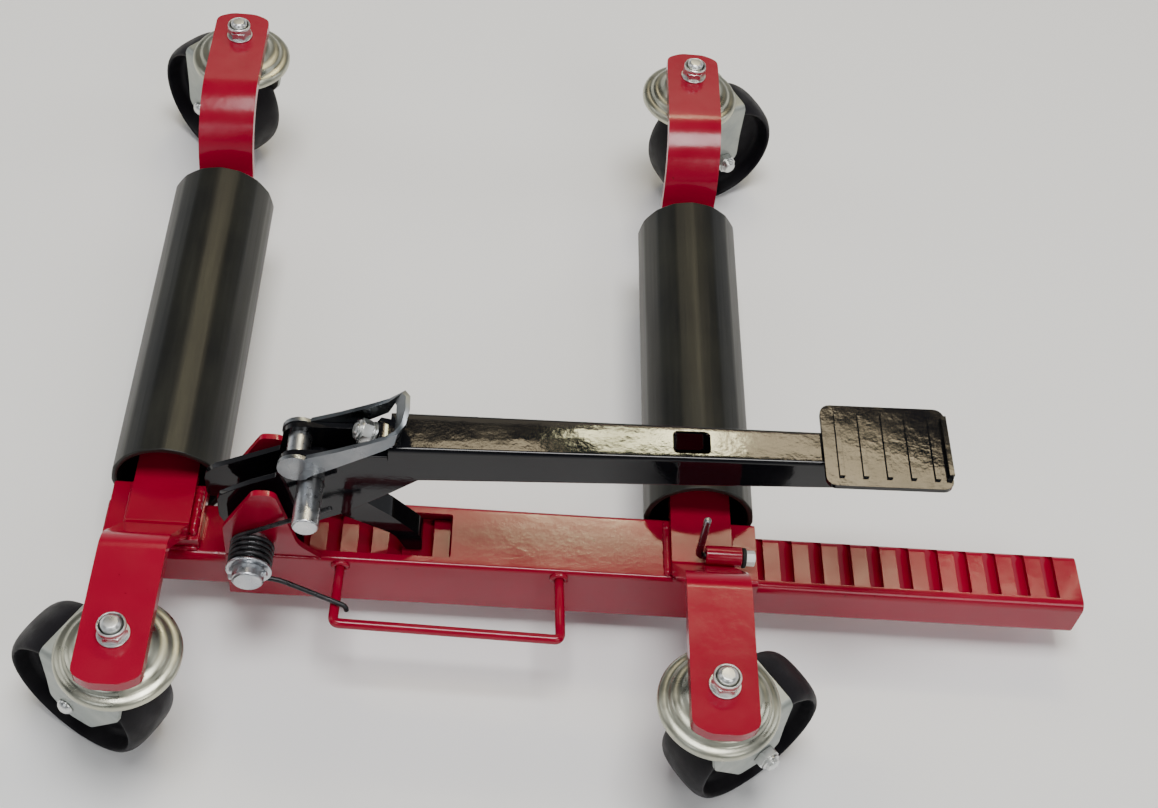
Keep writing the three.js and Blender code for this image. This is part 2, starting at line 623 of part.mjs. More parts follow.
function holdingPawl() {
  const outline = rounded([
    [-159, 84.5, 14],
    [-134, 84.5, 6],
    [-112, 72, 1],
    [-104, 72, 1],
    [-104, 84, 6],
    [-121, 100, 12],
    [-121, 121, 16],
    [-159, 121, 16],
  ], 4);
  const hole = circle(PIVOT.x, PIVOT.z, PIVOT.r + FIT);
  return plateXZ(outline, -9.5, 9.5, [hole]);
}
add("holding_pawl", holdingPawl(), BLACK_GLOSS);

// ---------------------------------------------------------------- release bail
// Stations along the near arm, round the raised lip and back along the far arm. Each gives the outer
// face of the strip as [x, y, z] of its lower and of its upper edge.
function bailStations() {
  const y = BAIL.y + BAIL.thick;
  const arm = (side) => [
    [[-97, side * y, 179], [-97, side * y, 203]],
    [[-74, side * y, 194.5], [-74, side * y, 213.5]],
    [[-52, side * y, 210], [-52, side * y, 225]],
    [[-38, side * y, 220], [-38, side * y, 233]],
  ];
  const lip = [
    [[-31.5, -18.5, 225.5], [-29, -18, 239]],
    [[-29, -12, 230.5], [-23.5, -12, 243.5]],
    [[-28, 0, 234], [-21.3, 0, 246]],
    [[-28.5, 12, 235], [-21.8, 12, 247]],
    [[-31, 18, 233], [-26, 18, 246]],
  ];
  return [...arm(-1), ...lip, ...arm(1).reverse()];
}

// A closed strip whose outer face follows the stations, thickened inward by the given amount.
function ribbon(stations, thick) {
  const points = [];
  stations.forEach(([low, high], i) => {
    const before = stations[Math.max(i - 1, 0)][0];
    const after = stations[Math.min(i + 1, stations.length - 1)][0];
    const inward = v3(before[1] - after[1], after[0] - before[0], 0).setLength(thick);
    for (const p of [v3(...low), v3(...high)]) points.push(p, p.clone().add(inward));
  });
  const index = [];
  const quad = (a, b, c, d) => index.push(a, b, c, a, c, d);
  for (let i = 0; i < stations.length - 1; i += 1) {
    const [a, b] = [4 * i, 4 * i + 4];
    quad(a, a + 2, b + 2, b);
    quad(a + 2, a + 3, b + 3, b + 2);
    quad(a + 3, a + 1, b + 1, b + 3);
    quad(a + 1, a, b, b + 1);
  }
  const last = 4 * (stations.length - 1);
  quad(0, 1, 3, 2);
  quad(last, last + 2, last + 3, last + 1);
  const g = new THREE.BufferGeometry().setFromPoints(points);
  g.setIndex(index);
  return g;
}

function releaseBail() {
  const eye = [...arc(BAIL.x, BAIL.z, 14.5, 60, 300, 12), [-95, 180.5], [-95, 203.5]];
  const eyes = [-BAIL.y - BAIL.thick, BAIL.y].map((y) => plateXZ(eye, y, y + BAIL.thick));
  return join(ribbon(bailStations(), BAIL.thick), ...eyes);
}
add("release_bail", releaseBail(), ZINC);
add("bail_shaft", bar("y", BAIL.shaftR, FIT - BAIL.y, BAIL.y - FIT, [BAIL.x, BAIL.z]), STEEL);

// ---------------------------------------------------------------- pedal hold-down latch
add("latch_sleeve", plateYZ(circle(LATCH.y, LATCH.z, LATCH.sleeveR, 20), LATCH.sleeveX0, LATCH.sleeveX1,
  [circle(LATCH.y, LATCH.z, LATCH.rodR + FIT, 16)]), RED);

const latchRoute = bentRoute([
  v3(262, LATCH.y, LATCH.z),
  v3(LATCH.x, LATCH.y, LATCH.z),
  v3(LATCH.x, LATCH.y, LATCH.top),
], 6);
add("latch_rod", wire(latchRoute, LATCH.rodR, 10), STEEL);
const latchBore = circle(LATCH.y, LATCH.z, LATCH.rodR + FIT, 16);
add("latch_washer", plateYZ(circle(LATCH.y, LATCH.z, 7.6, 20), 250.3, 253.6, [latchBore]), RUBBER);
add("latch_nut", plateYZ(hexagon(LATCH.y, LATCH.z, 11), 254, 261, [latchBore]), ZINC);

dolly.position.set(-CENTRE.x, -CENTRE.y, 0);

export default dolly;
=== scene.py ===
"""Looks of the wheel dolly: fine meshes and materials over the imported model, floor, lights and camera."""

import math

import bmesh
import bpy
from mathutils import Matrix, Vector


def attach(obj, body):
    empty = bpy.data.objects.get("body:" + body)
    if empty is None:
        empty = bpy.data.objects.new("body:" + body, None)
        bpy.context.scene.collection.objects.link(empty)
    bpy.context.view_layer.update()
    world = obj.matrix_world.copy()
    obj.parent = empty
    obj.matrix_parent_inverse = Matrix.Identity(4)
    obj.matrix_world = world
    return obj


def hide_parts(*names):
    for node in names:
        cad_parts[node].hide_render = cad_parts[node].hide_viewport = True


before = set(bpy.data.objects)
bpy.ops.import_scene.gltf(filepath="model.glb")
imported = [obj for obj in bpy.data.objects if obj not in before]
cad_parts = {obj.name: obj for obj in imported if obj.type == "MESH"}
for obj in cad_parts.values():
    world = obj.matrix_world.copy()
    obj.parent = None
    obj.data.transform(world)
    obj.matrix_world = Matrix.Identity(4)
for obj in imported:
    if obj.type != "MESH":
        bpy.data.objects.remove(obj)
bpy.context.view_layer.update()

# ------------------------------------------------------------------ layout, in millimetres
CENTRE = Vector((115.55, 186.96, 0.0))  # layout point over the origin of the row frame
ARM_X = 219.6  # the arms and rollers stand this far left and right of the layout origin
ARM_TOP = 161.6  # top of each arm over its caster
CROWN = 127.5  # underside of the fork's crown
TRAIL = 36.0  # from the stem's axis to the axle
WHEEL_R = 62.5
# Each caster: stem x and y, swivel angle in degrees and the body its arm belongs to.
STEM = {
    "near_left": (-ARM_X, -153.6, 59.3 + 90, "slider"),
    "far_left": (-ARM_X, 507.0, 47.8 + 90, "slider"),
    "near_right": (ARM_X, -168.0, 126.3 - 90, "frame"),
    "far_right": (ARM_X, 501.0, 118.1 - 90, "frame"),
}
ROLLER_R = 46.2
ROLLER_BORE = 41.0
ROLLER_Z = 80.8  # height of the roller axis
ROLLER_FAR_Y = 362.0
PIVOT = (-140.5, 103.0)  # x and z of the lever's main shaft
LATCH_Y = -16.5
LATCH_Z = 100.3


def at(x, y, z):
    """A layout point in millimetres as a row frame point in metres."""
    return (Vector((x, y, z)) - CENTRE) / 1000


# ------------------------------------------------------------------ materials
class Shader:
    """A small builder for node materials in object coordinates."""

    def __init__(self, name):
        self.mat = bpy.data.materials.new(name)
        self.mat.use_nodes = True
        self.tree = self.mat.node_tree
        self.bsdf = self.tree.nodes["Principled BSDF"]
        self.coords = self.node("ShaderNodeTexCoord").outputs["Object"]

    def node(self, kind, **props):
        n = self.tree.nodes.new(kind)
        for key, value in props.items():
            setattr(n, key, value)
        return n

    def link(self, a, b):
        self.tree.links.new(a, b)

    def noise(self, scale, detail=3.0, rough=0.5, stretch=(1, 1, 1)):
        mapping = self.node("ShaderNodeMapping")
        mapping.inputs["Scale"].default_value = stretch
        self.link(self.coords, mapping.inputs["Vector"])
        n = self.node("ShaderNodeTexNoise")
        n.inputs["Scale"].default_value = scale
        n.inputs["Detail"].default_value = detail
        n.inputs["Roughness"].default_value = rough
        self.link(mapping.outputs["Vector"], n.inputs["Vector"])
        return n.outputs["Fac"]

    def ramp(self, source, stops):
        n = self.node("ShaderNodeValToRGB")
        ramp = n.color_ramp
        while len(ramp.elements) < len(stops):
            ramp.elements.new(0.5)
        for element, (place, color) in zip(ramp.elements, stops):
            element.position = place
            element.color = (*color, 1.0) if len(color) == 3 else color
        self.link(source, n.inputs["Fac"])
        return n.outputs["Color"]

    def mapped(self, source, low, high, from_low=0.3, from_high=0.7):
        n = self.node("ShaderNodeMapRange")
        n.inputs["From Min"].default_value = from_low
        n.inputs["From Max"].default_value = from_high
        n.inputs["To Min"].default_value = low
        n.inputs["To Max"].default_value = high
        self.link(source, n.inputs["Value"])
        return n.outputs["Result"]

    def mix(self, fac, a, b):
        n = self.node("ShaderNodeMix", data_type="RGBA")
        self.link(fac, n.inputs["Factor"])
        colour_a, colour_b, result = n.inputs[6], n.inputs[7], n.outputs[2]  # this node repeats socket names
        for value, slot in ((a, colour_a), (b, colour_b)):
            if isinstance(value, tuple):
                slot.default_value = (*value, 1.0)
            else:
                self.link(value, slot)
        return result

    def color(self, output):
        self.link(output, self.bsdf.inputs["Base Color"])

    def rough(self, output):
        self.link(output, self.bsdf.inputs["Roughness"])

    def bump(self, *layers):
        """Each layer is (height output, strength, distance in metres)."""
        normal = None
        for height, strength, distance in layers:
            n = self.node("ShaderNodeBump")
            n.inputs["Strength"].default_value = strength
            n.inputs["Distance"].default_value = distance
            self.link(height, n.inputs["Height"])
            if normal is not None:
                self.link(normal, n.inputs["Normal"])
            normal = n.outputs["Normal"]
        self.link(normal, self.bsdf.inputs["Normal"])

    def set(self, **values):
        for key, value in values.items():
            self.bsdf.inputs[key.replace("_", " ")].default_value = value
        return self.mat


def red_paint():
    s = Shader("red_enamel")
    tone = s.noise(9.0, 4.0)
    base = s.ramp(tone, [(0.32, (0.255, 0.001, 0.018)), (0.68, (0.305, 0.002, 0.024))])
    chips = s.ramp(s.noise(260.0, 2.0), [(0.74, (0, 0, 0)), (0.77, (1, 1, 1))])
    s.color(s.mix(chips, base, (0.17, 0.001, 0.009)))
    s.rough(s.mapped(s.noise(35.0, 4.0), 0.13, 0.21))
    s.bump((s.noise(110.0, 2.0), 0.045, 0.002), (s.noise(420.0, 2.0), 0.04, 0.0007))
    return s.set(Specular_IOR_Level=0.42)


def black_enamel():
    s = Shader("black_enamel")
    s.color(s.ramp(s.noise(14.0, 4.0), [(0.35, (0.0025, 0.0025, 0.004)), (0.7, (0.006, 0.006, 0.007))]))
    s.rough(s.mapped(s.noise(28.0, 5.0), 0.05, 0.10))
    s.bump((s.noise(70.0, 2.0), 0.05, 0.002), (s.noise(480.0, 2.0), 0.05, 0.0004))
    return s.set(Specular_IOR_Level=0.35)


def roller_finish():
    s = Shader("roller_satin_black")
    streaks = s.noise(7.0, 5.0, 0.6, (9, 0.8, 9))
    cloud = s.noise(11.0, 5.0, 0.62)
    base = s.ramp(cloud, [(0.30, (0.008, 0.0083, 0.0078)), (0.72, (0.018, 0.0183, 0.0135))])
    dust = s.ramp(streaks, [(0.5, (0, 0, 0)), (0.8, (0.35, 0.35, 0.35))])
    s.color(s.mix(dust, base, (0.032, 0.032, 0.022)))
    s.rough(s.mapped(streaks, 0.30, 0.46))
    s.bump((s.noise(6.0, 2.0, 0.5, (20, 0.6, 20)), 0.12, 0.003), (s.noise(700.0, 3.0), 0.12, 0.0004))
    return s.set(Specular_IOR_Level=0.34)


def zinc_plate(name, tint, warm):
    s = Shader(name)
    cloud = s.noise(22.0, 5.0, 0.6)
    s.color(s.ramp(cloud, [(0.3, tint), (0.7, warm)]))
    s.rough(s.mapped(s.noise(60.0, 5.0), 0.22, 0.42))
    s.bump((s.noise(420.0, 4.0), 0.06, 0.0004), (s.noise(40.0, 2.0), 0.08, 0.002))
    return s.set(Metallic=1.0)


def dull_zinc():
    """The fork's sheet, paler and less shiny than the turned cap."""
    s = Shader("fork_zinc")
    s.color(s.ramp(s.noise(30.0, 5.0, 0.6), [(0.3, (0.27, 0.30, 0.29)), (0.7, (0.42, 0.44, 0.40))]))
    s.rough(s.mapped(s.noise(80.0, 4.0), 0.36, 0.52))
    s.bump((s.noise(380.0, 4.0), 0.14, 0.0005))
    return s.set(Metallic=0.75)


def bright_steel():
    s = Shader("bright_steel")
    s.color(s.ramp(s.noise(50.0, 4.0), [(0.3, (0.46, 0.48, 0.51)), (0.7, (0.66, 0.67, 0.68))]))
    s.rough(s.mapped(s.noise(180.0, 3.0), 0.24, 0.36))
    s.bump((s.noise(320.0, 2.0), 0.03, 0.0003))
    return s.set(Metallic=1.0)


def wheel_plastic():
    s = Shader("wheel_polyolefin")
    s.color(s.ramp(s.noise(18.0, 4.0), [(0.3, (0.0035, 0.003, 0.0045)), (0.7, (0.007, 0.006, 0.009))]))
    s.rough(s.mapped(s.noise(70.0, 4.0), 0.40, 0.60))
    s.bump((s.noise(480.0, 4.0), 0.20, 0.0005))
    return s.set(Specular_IOR_Level=0.16)


def dark_polymer(name, tone, rough):
    s = Shader(name)
    s.color(s.ramp(s.noise(40.0, 4.0), [(0.3, (tone, tone, tone)), (0.7, (tone * 1.7,) * 3)]))
    s.rough(s.mapped(s.noise(120.0, 3.0), rough - 0.08, rough + 0.1))
    s.bump((s.noise(600.0, 3.0), 0.2, 0.0004))
    return s.set(Specular_IOR_Level=0.4)


def spring_finish():
    s = Shader("spring_black_oxide")
    s.color(s.ramp(s.noise(120.0, 4.0), [(0.35, (0.012, 0.012, 0.014)), (0.75, (0.045, 0.045, 0.048))]))
    s.rough(s.mapped(s.noise(240.0, 3.0), 0.22, 0.42))
    s.bump((s.noise(900.0, 3.0), 0.15, 0.0003))
    return s.set(Metallic=0.6)


MATS = {
    "red_paint": red_paint(),
    "black_gloss": black_enamel(),
    "roller_black": roller_finish(),
    "zinc": zinc_plate("zinc_passivated", (0.34, 0.35, 0.30), (0.58, 0.57, 0.44)),
    "bolt_zinc": zinc_plate("zinc_bright", (0.60, 0.62, 0.63), (0.80, 0.80, 0.76)),
    "bail_zinc": zinc_plate("zinc_dark", (0.16, 0.18, 0.20), (0.30, 0.31, 0.32)),
    "fork": dull_zinc(),
    "steel": bright_steel(),
    "wheel_black": wheel_plastic(),
    "nylon": dark_polymer("nylon_black", 0.010, 0.45),
    "rubber": dark_polymer("rubber_black", 0.008, 0.7),
    "spring_wire": spring_finish(),
}


# ------------------------------------------------------------------ mesh helpers, all in layout millimetres
def obj_from(name, verts, faces, matrix=None):
    """A new object from layout points, with its faces turned outward."""
    mesh = bpy.data.meshes.new(name)
    place = matrix or Matrix.Identity(4)
    mesh.from_pydata([at(*(place @ Vector(v))) for v in verts], [], faces)
    bm = bmesh.new()
    bm.from_mesh(mesh)
    bmesh.ops.remove_doubles(bm, verts=bm.verts, dist=1e-6)
    bmesh.ops.recalc_face_normals(bm, faces=bm.faces)
    bm.to_mesh(mesh)
    bm.free()
    obj = bpy.data.objects.new(name, mesh)
    bpy.context.scene.collection.objects.link(obj)
    return obj


def turned(name, profile, matrix=None, segments=96):
    """A closed profile of (radius, height) turned about local Z. Radius 0 closes at the axis."""
    verts = []
    faces = []
    rings = []
    for r, h in profile:
        if r < 1e-6:
            rings.append([len(verts)] * segments)
            verts.append((0, 0, h))
            continue
        rings.append(list(range(len(verts), len(verts) + segments)))
        for k in range(segments):
            t = 2 * math.pi * k / segments
            verts.append((r * math.cos(t), r * math.sin(t), h))
    closed = profile[0][0] > 1e-6
    pairs = list(zip(rings, rings[1:])) + ([(rings[-1], rings[0])] if closed else [])
    for a, b in pairs:
        for k in range(segments):
            n = (k + 1) % segments
            face = [a[k], a[n], b[n], b[k]]
            face = [v for i, v in enumerate(face) if v not in face[:i]]
            if len(face) > 2:
                faces.append(face)
    return obj_from(name, verts, faces, matrix)


def frames(points):
    """Tangent, side and up along a path, with the least possible twist."""
    tangents = []
    for i in range(len(points)):
        a = points[max(i - 1, 0)]
        b = points[min(i + 1, len(points) - 1)]
        tangents.append((b - a).normalized())
    side = tangents[0].orthogonal().normalized()
    out = []
    for t in tangents:
        side = (side - t * side.dot(t)).normalized()
        out.append((t, side, t.cross(side)))
    return out


def rod(name, points, radius, sides=20, dome=0.0):
    """A round rod along layout points, with one radius or a list. dome rounds both ends by that many mm."""
    points = [Vector(p) for p in points]
    radii = list(radius) if isinstance(radius, (list, tuple)) else [radius] * len(points)
    if dome:
        start = (points[0] - points[1]).normalized()
        stop = (points[-1] - points[-2]).normalized()
        lead = [
            (points[0] + start * (dome * math.sin(a) - dome), radii[0] - dome * (1 - math.cos(a)))
            for a in (1.5, 1.0, 0.5)
        ]
        tail = [
            (points[-1] + stop * (dome * math.sin(a) - dome), radii[-1] - dome * (1 - math.cos(a)))
            for a in (0.5, 1.0, 1.5)
        ]
        points[0] = points[0] - start * dome
        points[-1] = points[-1] - stop * dome
        points = [p for p, _ in lead] + points + [p for p, _ in tail]
        radii = [r for _, r in lead] + radii + [r for _, r in tail]
    verts = []
    faces = []
    for (_, side, up), p, r in zip(frames(points), points, radii):
        for k in range(sides):
            a = 2 * math.pi * k / sides
            verts.append(p + side * (r * math.cos(a)) + up * (r * math.sin(a)))
    for i in range(len(points) - 1):
        for k in range(sides):
            n = (k + 1) % sides
            faces.append([i * sides + k, i * sides + n, (i + 1) * sides + n, (i + 1) * sides + k])
    faces.append(list(range(sides)))
    faces.append([(len(points) - 1) * sides + k for k in range(sides)])
    return obj_from(name, verts, faces)


def prism(name, outline, low, high, matrix=None):
    """An outline of (x, y) raised from low to high along local Z."""
    n = len(outline)
    verts = [(x, y, low) for x, y in outline] + [(x, y, high) for x, y in outline]
    faces = [list(range(n)), [n + k for k in range(n)]]
    faces += [[k, (k + 1) % n, n + (k + 1) % n, n + k] for k in range(n)]
    return obj_from(name, verts, faces, matrix)


def rounded(corners, steps=8):
    """Replaces each corner (x, y, radius) of a closed outline by an arc."""
    out = []
    count = len(corners)
    for i, corner in enumerate(corners):
        here = Vector(corner[:2])
        radius = corner[2] if len(corner) > 2 else 0
        if radius <= 0:
            out.append(tuple(here))
            continue
        before = (Vector(corners[i - 1][:2]) - here).normalized()
        after = (Vector(corners[(i + 1) % count][:2]) - here).normalized()
        half = before.angle(after) / 2
        centre = here + (before + after).normalized() * (radius / math.sin(half))
        start = here + before * (radius / math.tan(half)) - centre
        stop = here + after * (radius / math.tan(half)) - centre
        sweep = math.atan2(start.x * stop.y - start.y * stop.x, start.dot(stop))
        for k in range(steps + 1):
            a = sweep * k / steps
            c, s = math.cos(a), math.sin(a)
            out.append((centre.x + start.x * c - start.y * s, centre.y + start.x * s + start.y * c))
    return out


def polygon(radius, sides):
    """The corners of a regular polygon."""
    angles = [2 * math.pi * k / sides for k in range(sides)]
    return [(radius * math.cos(a), radius * math.sin(a)) for a in angles]


def boolean(obj, tool, operation):
    """Applies a boolean and drops the tool."""
    mod = obj.modifiers.new("cut", "BOOLEAN")
    mod.operation = operation
    mod.object = tool
    mod.solver = "EXACT"
    bpy.context.view_layer.update()
    graph = bpy.context.evaluated_depsgraph_get()
    mesh = bpy.data.meshes.new_from_object(obj.evaluated_get(graph))
    obj.modifiers.clear()
    obj.data = mesh
    bpy.data.objects.remove(tool)
    return obj


def join(name, *objs):
    """Merges the meshes of several objects into one object with several bodies."""
    bm = bmesh.new()
    for o in objs:
        bm.from_mesh(o.data)
    mesh = bpy.data.meshes.new(name)
    bm.to_mesh(mesh)
    bm.free()
    for o in objs:
        bpy.data.objects.remove(o)
    obj = bpy.data.objects.new(name, mesh)
    bpy.context.scene.collection.objects.link(obj)
    return obj


def soften(obj, width, segments=3, angle=32):
    """Rounds every sharp edge and shades the rest smooth."""
    for face in obj.data.polygons:
        face.use_smooth = True
    if width:
        bevel = obj.modifiers.new("edges", "BEVEL")
        bevel.width = width / 1000
        bevel.segments = segments
        bevel.limit_method = "ANGLE"
        bevel.angle_limit = math.radians(angle)
        bevel.harden_normals = True
        bevel.miter_outer = "MITER_ARC"
    weighted = obj.modifiers.new("normals", "WEIGHTED_NORMAL")
    weighted.keep_sharp = True
    weighted.weight = 80


def piece(obj, material, body, replaces=(), edge=0.4):
    """Finishes a new piece: edges, material, the CAD nodes it stands for and its body."""
    soften(obj, edge)
    obj.data.materials.clear()
    obj.data.materials.append(MATS[material])
    if replaces:
        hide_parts(*replaces)
    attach(obj, body)
    return obj


def refine(node, material, edge=0.8, angle=32):
    """Keeps a CAD node, with rounded edges and a finished material."""
    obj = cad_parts[node]
    if "custom_normal" in obj.data.attributes:
        obj.data.attributes.remove(obj.data.attributes["custom_normal"])
    weld = obj.modifiers.new("weld", "WELD")
    weld.merge_threshold = 2e-5
    soften(obj, edge, angle=angle)
    obj.data.materials.clear()
    obj.data.materials.append(MATS[material])


ALONG_Y = Matrix.Rotation(math.radians(-90), 4, "X")  # local Z onto +Y
ALONG_X = Matrix.Rotation(math.radians(90), 4, "Y")  # local Z onto +X


def place(x, y, z, turn=Matrix.Identity(4)):
    """Turns about the origin, then moves to a layout point."""
    return Matrix.Translation((x, y, z)) @ turn


# ------------------------------------------------------------------ CAD nodes that keep their shape
for name, material, edge in (
    ("outer_tube", "red_paint", 0.7),
    ("bracket_plate_near", "red_paint", 1.1),
    ("bracket_plate_far", "red_paint", 1.1),
    ("right_arm", "red_paint", 1.5),
    ("left_arm", "red_paint", 1.5),
    ("arm_spacer", "red_paint", 1.5),
    ("lever_plate_near", "black_gloss", 0.9),
    ("lever_plate_far", "black_gloss", 0.9),
    ("pedal_tube", "black_gloss", 1.6),
    ("foot_plate", "black_gloss", 0.8),
    ("tube_end_cap", "nylon", 0.8),
    ("drive_pawl", "black_gloss", 0.9),
    ("holding_pawl", "black_gloss", 0.9),
    ("release_bail", "bail_zinc", 0.7),
    ("slide_pad_lower", "nylon", 0.3),
    ("slide_pad_upper", "nylon", 0.3),
    ("bush_left_near", "nylon", 0.5),
    ("bush_left_far", "nylon", 0.5),
    ("bush_right_near", "nylon", 0.5),
    ("bush_right_far", "nylon", 0.5),
    ("pivot_spacer_near", "steel", 0.5),
    ("pivot_spacer_far", "steel", 0.5),
):
    refine(name, material, edge)
refine("rack_tube", "red_paint", 0.45, angle=20)  # a low limit, so that the shallow ramps stay crisp


# ------------------------------------------------------------------ rollers
def roller(side, x, y0):
    """A tube whose skin shows faint lengthwise flats."""
    length = ROLLER_FAR_Y - y0
    segments = 128
    flats = 16

    def skin(angle):
        step = 2 * math.pi / flats
        local = (angle % step) - step / 2
        facet = ROLLER_R * math.cos(step / 2) / math.cos(local)
        flatness = 0.55
        return (1 - flatness) * ROLLER_R + flatness * facet

    # Rings along the skin and back through the bore: distance from the near end and change of radius.
    outer_rings = [
        (0.0, -1.2), (0.35, -0.35), (1.2, 0.0), (length - 1.2, 0.0), (length - 0.35, -0.35), (length, -1.2),
    ]
    bore_rings = [(length, 0.8), (length - 0.8, 0.0), (0.8, 0.0), (0.0, 0.8)]
    angles = [2 * math.pi * k / segments for k in range(segments)]
    rings = [(y, [skin(a) + change for a in angles]) for y, change in outer_rings]
    rings += [(y, [ROLLER_BORE + change] * segments) for y, change in bore_rings]
    verts = [
        (x + r * math.cos(a), y0 + y, ROLLER_Z + r * math.sin(a))
        for y, radii in rings
        for a, r in zip(angles, radii)
    ]
    count = len(rings)
    faces = []
    for i in range(count):
        j = (i + 1) % count
        for k in range(segments):
            n = (k + 1) % segments
            faces.append([i * segments + k, i * segments + n, j * segments + n, j * segments + k])
    obj = obj_from(f"roller_{side}_tube", verts, faces)
    piece(obj, "roller_black", f"roller_{side}", replaces=[f"roller_{side}"], edge=0)


roller("left", -ARM_X, 36.2)
roller("right", ARM_X, 32.0)


# ------------------------------------------------------------------ casters
def race_cap(tag, spot, body):
    """The pressed cap over the swivel bearing, stepped from its top plate to a rolled rim."""
    profile = [
        (8.3, 151.2), (22.5, 151.2), (25.0, 150.8), (27.2, 149.0), (29.0, 146.6), (31.0, 145.0),
        (33.5, 144.4), (36.0, 143.8), (37.4, 142.6), (38.2, 140.9), (39.4, 139.8), (41.2, 139.4),
        (43.4, 138.9), (45.2, 137.7), (46.2, 135.9), (46.4, 133.8), (46.0, 132.0), (45.0, 131.0),
        (43.6, 131.0), (8.3, 131.0),
    ]
    obj = turned(f"cap_{tag}", profile, spot, 128)
    piece(obj, "zinc", body, replaces=[f"race_cap_{tag}"], edge=0)


def fork(tag, spot, body):
    """A folded yoke: a channel over the wheel cut to the leg outline, with a round crown."""
    outer = [(-29.5, 40, 0), (-29.5, CROWN + 3, 6), (29.5, CROWN + 3, 6), (29.5, 40, 0)]
    inner = [(26.5, 40, 0), (26.5, CROWN, 3.2), (-26.5, CROWN, 3.2), (-26.5, 40, 0)]
    ring = rounded(outer + inner, 6)
    lay = Matrix(((0, 0, 1, 0), (1, 0, 0, 0), (0, 1, 0, 0), (0, 0, 0, 1)))
    channel = prism(f"fork_{tag}_fold", ring, -34, 60, spot @ lay)
    outline = rounded([
        (-28, CROWN + 6, 0), (-19, 95, 14), (14, 51, 9), (TRAIL + 2, 48.5, 14), (TRAIL + 15, 64, 11),
        (49.5, 92, 14), (49.5, CROWN + 6, 0),
    ])
    upright = Matrix(((1, 0, 0, 0), (0, 0, 1, 0), (0, 1, 0, 0), (0, 0, 0, 1)))
    boolean(channel, prism("cutter", outline, -40, 40, spot @ upright), "INTERSECT")
    disc = turned("disc", [
        (0, CROWN), (39.2, CROWN), (40.0, CROWN + 0.8), (40.0, CROWN + 2.2), (39.2, CROWN + 3),
        (0, CROWN + 3),
    ], spot, 96)
    boolean(channel, disc, "UNION")
    bore = turned("bore", [(0, CROWN - 9), (8.3, CROWN - 9), (8.3, CROWN + 9), (0, CROWN + 9)], spot, 48)
    boolean(channel, bore, "DIFFERENCE")
    across = spot @ place(TRAIL, 0, WHEEL_R, ALONG_Y)
    axle_bore = turned("bore", [(0, -40), (6.2, -40), (6.2, 40), (0, 40)], across, 40)
    boolean(channel, axle_bore, "DIFFERENCE")
    piece(channel, "fork", body, replaces=[f"fork_{tag}"], edge=0.5)


def wheel(tag, spot, body):
    """One moulded wheel: crowned tread, rounded shoulders, dished web and hub."""
    half = [
        (WHEEL_R, 0.0), (62.4, 6.0), (62.0, 12.0), (61.2, 17.0), (60.0, 20.6), (58.6, 23.0), (57.4, 24.4),
        (56.4, 24.9), (55.5, 24.9), (54.8, 24.2), (54.2, 22.0), (52.6, 14.0), (51.4, 10.5), (48.6, 8.6),
        (30.0, 8.0), (18.5, 8.6), (16.4, 11.5), (15.4, 20.0), (14.6, 23.4), (13.4, 24.0), (6.3, 24.0),
    ]
    profile = half + [(r, -h) for r, h in reversed(half[1:])]
    obj = turned(f"tyre_{tag}", profile, spot @ place(TRAIL, 0, WHEEL_R, ALONG_Y), 128)
    piece(obj, "wheel_black", body, replaces=[f"wheel_{tag}"], edge=0)


def hex_nut(name, across, low, high, bore, matrix):
    """A hexagon whose corners are turned off at the top, with a bore."""
    corner = across / math.sqrt(3)
    body = prism(name, polygon(corner, 6), low, high, matrix)
    chamfer = turned("chamfer", [
        (0, low - 1), (corner + 1, low - 1), (corner + 1, high - (corner - across / 2) * 0.75),
        (across / 2 * 0.985, high + 0.02), (0, high + 0.02),
    ], matrix, 64)
    boolean(body, chamfer, "INTERSECT")
    hole = turned("hole", [(0, low - 2), (bore, low - 2), (bore, high + 2), (0, high + 2)], matrix, 48)
    return boolean(body, hole, "DIFFERENCE")


def thread(radius, low, high, pitch=1.75, depth=0.45):
    """Turned ridges that stand for a thread, as profile points going up."""
    out = []
    z = low
    while z + pitch <= high:
        out += [(radius - depth, z), (radius, z + pitch * 0.42), (radius, z + pitch * 0.58)]
        z += pitch
    out.append((radius - depth, z))
    return out


def stem(tag, spot, body):
    """Stem stud through the arm, with a washer and a collared lock nut on top."""
    z = ARM_TOP + 0.3
    washer = turned("w", [
        (8.1, z), (11.6, z), (11.9, z + 0.3), (11.9, z + 1.0), (11.6, z + 1.3), (8.1, z + 1.3),
    ], spot, 64)
    nut = hex_nut("n", 19.0, z + 1.3, z + 8.4, 8.1, spot)
    collar = turned("c", [
        (8.1, z + 7.8), (9.6, z + 7.8), (10.3, z + 8.8), (10.6, z + 10.2), (10.6, z + 12.4), (10.2, z + 13.3),
        (9.6, z + 13.6), (9.0, z + 13.2), (8.6, z + 12.0), (8.1, z + 10.4),
    ], spot, 64)
    nut = join(f"stem_lock_nut_{tag}", washer, nut, collar)
    piece(nut, "bolt_zinc", body, replaces=[f"stem_nut_{tag}"], edge=0.25)
    top = ARM_TOP + 17.2
    shank = turned(f"stem_stud_{tag}", [
        (0, CROWN - 6), (12.0, CROWN - 6), (12.7, CROWN - 5.4), (12.7, CROWN - 0.8), (12.2, CROWN - 0.3),
        (7.7, CROWN - 0.3), (7.7, ARM_TOP + 9), *thread(7.7, ARM_TOP + 9.5, top - 2.0, 1.5, 0.4),
        (7.4, top - 1.7), (5.1, top - 0.2), (4.6, top), (0, top),
    ], spot, 64)
    piece(shank, "bolt_zinc", body, replaces=[f"stem_bolt_{tag}"], edge=0)


